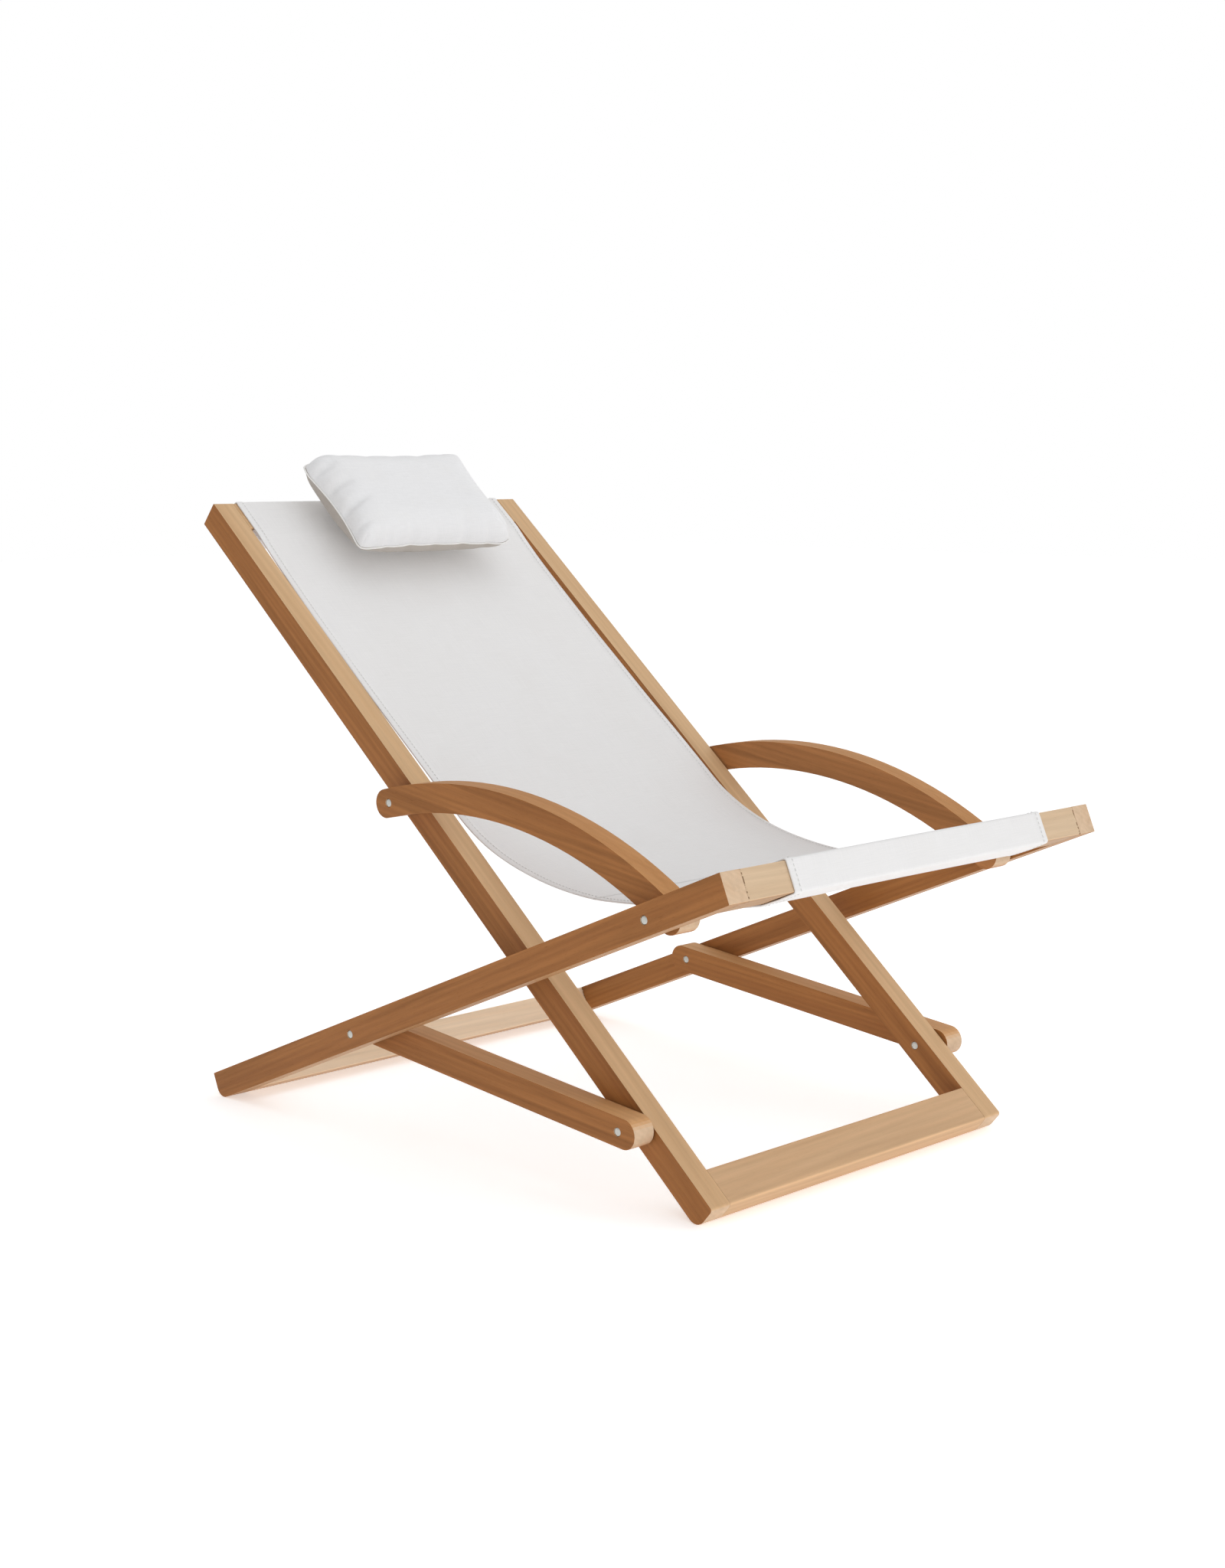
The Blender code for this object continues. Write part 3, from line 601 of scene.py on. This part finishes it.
def pillow_point(u, v, way):
    """A point of the stuffed cover before it swells, u and v from -1 to 1, on its front or its rear half."""
    pull = PILLOW_PULL_RIGHT if u > 0 else PILLOW_PULL_LEFT
    x = u * (PILLOW_HALF_WIDTH - pull * (1 - v * v))
    y = v * (PILLOW_HALF_LENGTH - PILLOW_PULL_ENDS * (1 - u * u))
    radius = PILLOW_ROUND_CORNER if u * v < 0 else PILLOW_CORNER
    over_x = abs(u) * PILLOW_HALF_WIDTH - (PILLOW_HALF_WIDTH - radius)
    over_y = abs(v) * PILLOW_HALF_LENGTH - (PILLOW_HALF_LENGTH - radius)
    if over_x > 0 and over_y > 0:
        far = math.hypot(over_x, over_y)
        square = max(over_x, over_y)
        x -= math.copysign(over_x * (1 - square / far), u)
        y -= math.copysign(over_y * (1 - square / far), v)
    if way > 0:
        side = max(float(bulge(u, 12.0)), 0.001)
        end = max(float(bulge(v, 12.0 if v > 0 else 6.0)), 0.001)
        z = PILLOW_FRONT / math.sqrt(side ** -2 + end ** -2 - 1)
    else:
        z = -PILLOW_REAR * float(bulge(u, 2.2 if u > 0 else 2.8) * bulge(v, 1.7))
    return x, y, z


def pillow_grid():
    """Spots over the cover, closer together towards its edges."""
    def spots(count):
        t = np.linspace(-1, 1, count + 1)
        return 0.45 * t + 0.55 * np.sin(t * math.pi / 2)
    return spots(PILLOW_COLUMNS), spots(PILLOW_ROWS)


def pillow_shell():
    """A closed cover: a front and a rear layer joined at a seam all round."""
    us, vs = pillow_grid()
    mesh = bmesh.new()
    grids = []
    for way in (1, -1):
        grid = []
        for j, v in enumerate(vs):
            line = []
            for i, u in enumerate(us):
                rim = i in (0, PILLOW_COLUMNS) or j in (0, PILLOW_ROWS)
                line.append(grids[0][j][i] if rim and way < 0 else mesh.verts.new(pillow_point(u, v, way)))
            grid.append(line)
        grids.append(grid)
    for grid, flip in zip(grids, (False, True)):
        for j in range(PILLOW_ROWS):
            for i in range(PILLOW_COLUMNS):
                corners = [grid[j][i], grid[j][i + 1], grid[j + 1][i + 1], grid[j + 1][i]]
                mesh.faces.new(corners[::-1] if flip else corners)
    data = bpy.data.meshes.new("head_pillow_cover")
    mesh.to_mesh(data)
    mesh.free()
    obj = bpy.data.objects.new("head_pillow_soft", data)
    bpy.context.scene.collection.objects.link(obj)
    return obj


def inflate(obj, frames, pressure):
    """Fills a cover with air by cloth simulation, and keeps the result as its mesh."""
    scene = bpy.context.scene
    cloth = obj.modifiers.new("cloth", "CLOTH")
    settings = cloth.settings
    settings.quality = 8
    settings.mass = 0.12
    settings.tension_stiffness = 60
    settings.compression_stiffness = 60
    settings.shear_stiffness = 12
    settings.bending_stiffness = 0.6
    settings.tension_damping = 12
    settings.compression_damping = 12
    settings.shear_damping = 8
    settings.bending_damping = 1.0
    settings.air_damping = 6
    settings.use_pressure = True
    settings.uniform_pressure_force = pressure
    settings.effector_weights.gravity = 0
    cloth.collision_settings.use_collision = False
    cloth.point_cache.frame_start = 1
    cloth.point_cache.frame_end = frames
    for at in range(1, frames + 1):
        scene.frame_set(at)
    graph = bpy.context.evaluated_depsgraph_get()
    swollen = bpy.data.meshes.new_from_object(obj.evaluated_get(graph))
    obj.modifiers.remove(cloth)
    obj.data = swollen
    scene.frame_set(1)


def pucker(points):
    """Pleats that run in from the sewn edge, deepest at the left side seam, on the front half."""
    x, y = points[:, 0] / PILLOW_HALF_WIDTH, points[:, 1] / PILLOW_HALF_LENGTH
    front = np.clip(points[:, 2] / (0.35 * PILLOW_FRONT), 0, 1)
    moved = points.copy()
    for at, slant, width, reach, depth in SIDE_PLEATS:
        inward = (x + 1) * PILLOW_HALF_WIDTH
        aside = (y - at) * PILLOW_HALF_LENGTH - slant * inward
        groove = depth * front * np.exp(-(aside / width) ** 2) * np.exp(-((inward - 0.012) / reach) ** 2)
        moved[:, 0] += groove * 0.75
        moved[:, 2] -= groove
    for at, width, reach, depth in END_PLEATS:
        for end in (-1, 1):
            inward = (1 - end * y) * PILLOW_HALF_LENGTH
            aside = (x - at * end) * PILLOW_HALF_WIDTH
            groove = depth * np.exp(-(aside / width) ** 2) * np.exp(-(inward / reach) ** 2)
            moved[:, 1] -= end * groove
            moved[:, 2] -= groove * 0.6 * front
    return moved


def seam_ring():
    """The numbers of the cover's seam points, in order round it."""
    across = PILLOW_COLUMNS + 1
    ring = list(range(across))
    ring += [PILLOW_COLUMNS + j * across for j in range(1, PILLOW_ROWS + 1)]
    ring += [PILLOW_ROWS * across + i for i in range(PILLOW_COLUMNS - 1, -1, -1)]
    return ring + [j * across for j in range(PILLOW_ROWS - 1, 0, -1)]


def add_seam(obj, ring):
    """A narrow sewn welt on the cover's seam, joined into its mesh as the third material."""
    line = np.array([obj.data.vertices[k].co for k in ring])
    mesh = bmesh.new()
    mesh.from_mesh(obj.data)
    hoops = []
    for before, point, after in zip(np.roll(line, 1, axis=0), line, np.roll(line, -1, axis=0)):
        ahead = Vector(after - before).normalized()
        out = ahead.cross(Vector((0, 0, 1))).normalized()
        up = out.cross(ahead)
        hoop = []
        for turn in range(8):
            angle = math.pi / 4 * turn
            hoop.append(mesh.verts.new(Vector(point) + out * 0.0006 + (out * math.cos(angle) * 1.3
                                                                      + up * math.sin(angle) * 0.8) * WELT))
        hoops.append(hoop)
    faces = []
    for a, b in zip(hoops, hoops[1:] + hoops[:1]):
        faces += [mesh.faces.new((a[k], a[(k + 1) % 8], b[(k + 1) % 8], b[k])) for k in range(8)]
    bmesh.ops.recalc_face_normals(mesh, faces=faces)
    for made in faces:
        made.material_index = 2
        made.smooth = True
    mesh.to_mesh(obj.data)
    mesh.free()


def add_pillow():
    """The head pillow: shaped, swollen by simulation within a limit, puckered, and sewn round its edge."""
    obj = pillow_shell()
    planned = np.array([vertex.co for vertex in obj.data.vertices])
    points = planned
    inflate(obj, 14, 2.0)
    swollen = np.array([vertex.co for vertex in obj.data.vertices])
    swollen += planned.mean(axis=0) - swollen.mean(axis=0)
    change = swollen - planned
    far = np.linalg.norm(change, axis=1)[:, None]
    points = planned + change * np.minimum(1.0, PILLOW_MOST_MOVED / np.maximum(far, 1e-6))
    points = pucker(points)
    for vertex, point in zip(obj.data.vertices, points):
        vertex.co = point
    front = pillow_cotton("pillow_cotton", (0.84, 0.84, 0.85), (0.80, 0.785, 0.765))
    # The rear half's darker, warmer cotton is painted shade: a shaded copy of the front's cotton
    rear = pillow_cotton("pillow_rear_painted_shade", (0.48, 0.435, 0.39), (0.43, 0.385, 0.34))
    give(obj, front, rear, thread_material("pillow_thread", (0.84, 0.83, 0.81)))
    # Faces of the rear half take the painted-shade cotton
    for number, face in enumerate(obj.data.polygons):
        face.material_index = int(number >= PILLOW_COLUMNS * PILLOW_ROWS)
        face.use_smooth = True
    add_seam(obj, seam_ring())
    obj.matrix_world = BACK @ Matrix.Translation((0, BACK_LENGTH - PILLOW_FROM_TOP, PILLOW_SEAM_OUT))
    obj.visible_shadow = False
    soft = obj.modifiers.new("soft", "SUBSURF")
    soft.levels = 1
    soft.render_levels = 1
    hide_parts("head_pillow")
    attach(obj, "back_frame")
    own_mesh(obj)


def area_light(name, location, target, size, power):
    lamp = bpy.data.lights.new(name, "AREA")
    lamp.shape = "RECTANGLE"
    lamp.size, lamp.size_y = size
    lamp.energy = power
    obj = bpy.data.objects.new(name, lamp)
    obj.location = location
    obj.rotation_euler = (Vector(target) - Vector(location)).to_track_quat("-Z", "Y").to_euler()
    bpy.context.scene.collection.objects.link(obj)


def add_surroundings():
    """A white backdrop whose light is strongest from the front right and above."""
    world = bpy.data.worlds.new("studio")
    bpy.context.scene.world = world
    world.use_nodes = True
    nodes, links = world.node_tree.nodes, world.node_tree.links
    background = nodes["Background"]
    coords = nodes.new("ShaderNodeTexCoord")
    towards = nodes.new("ShaderNodeVectorMath")
    towards.operation = "DOT_PRODUCT"
    towards.inputs[1].default_value = Vector((0.66, -0.58, 0.48)).normalized()
    links.new(coords.outputs["Generated"], towards.inputs[0])
    strength = nodes.new("ShaderNodeMapRange")
    for key, value in (("From Min", -1.0), ("From Max", 1.0), ("To Min", 0.26), ("To Max", 0.95)):
        strength.inputs[key].default_value = value
    links.new(towards.outputs["Value"], strength.inputs["Value"])
    seen = nodes.new("ShaderNodeLightPath")
    choice = nodes.new("ShaderNodeMix")
    links.new(seen.outputs["Is Camera Ray"], choice.inputs[0])
    links.new(strength.outputs["Result"], choice.inputs[2])
    choice.inputs[3].default_value = 1.0
    background.inputs["Color"].default_value = (1.0, 1.0, 1.0, 1)
    links.new(choice.outputs[0], background.inputs["Strength"])


def add_studio():
    """White floor and backdrop, soft light from the front right and above, and the camera."""
    scene = bpy.context.scene
    scene.view_settings.view_transform = "Standard"
    scene.view_settings.look = "None"

    add_surroundings()

    mesh = bmesh.new()
    bmesh.ops.create_grid(mesh, x_segments=2, y_segments=2, size=14)
    data = bpy.data.meshes.new("floor")
    mesh.to_mesh(data)
    mesh.free()
    floor = bpy.data.objects.new("floor", data)
    scene.collection.objects.link(floor)
    floor.location = (0, 0, -0.0005)
    g = Graph("floor_white")
    coords = g.add("ShaderNodeTexCoord").outputs["Object"]
    g.put(g.shader.inputs["Base Color"], g.mix(g.noise(coords, 3.0), (0.93, 0.93, 0.93), (0.95, 0.95, 0.95)))
    g.shader.inputs["Roughness"].default_value = 0.9
    g.shader.inputs["Specular IOR Level"].default_value = 0.1
    g.shader.inputs["Emission Color"].default_value = (1, 1, 1, 1)
    g.shader.inputs["Emission Strength"].default_value = 0.42
    give(floor, g.material)

    area_light("key", (2.4, -3.6, 2.3), (0, 0, 0.3), (2.6, 2.0), 9)
    area_light("top", (0.0, 0.0, 3.6), (0, 0, 0), (3.0, 3.0), 9)
    area_light("fill", (-2.1, -3.0, 1.7), (0, 0, 0.4), (2.4, 2.4), 13)

    lens = bpy.data.cameras.new("camera")
    lens.sensor_width = 36
    lens.lens = 52.61
    lens.shift_x = -0.0060
    lens.shift_y = 0.0066
    lens.clip_end = 60
    camera = bpy.data.objects.new("camera", lens)
    camera.location = (-1.9312, -1.9377, 0.7877)
    camera.rotation_euler = (math.radians(90 - 8.323), 0, math.radians(-45.113))
    scene.collection.objects.link(camera)
    scene.camera = camera


def main():
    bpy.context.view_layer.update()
    dress_cad_nodes()
    add_sling()
    add_pillow()
    add_studio()


main()
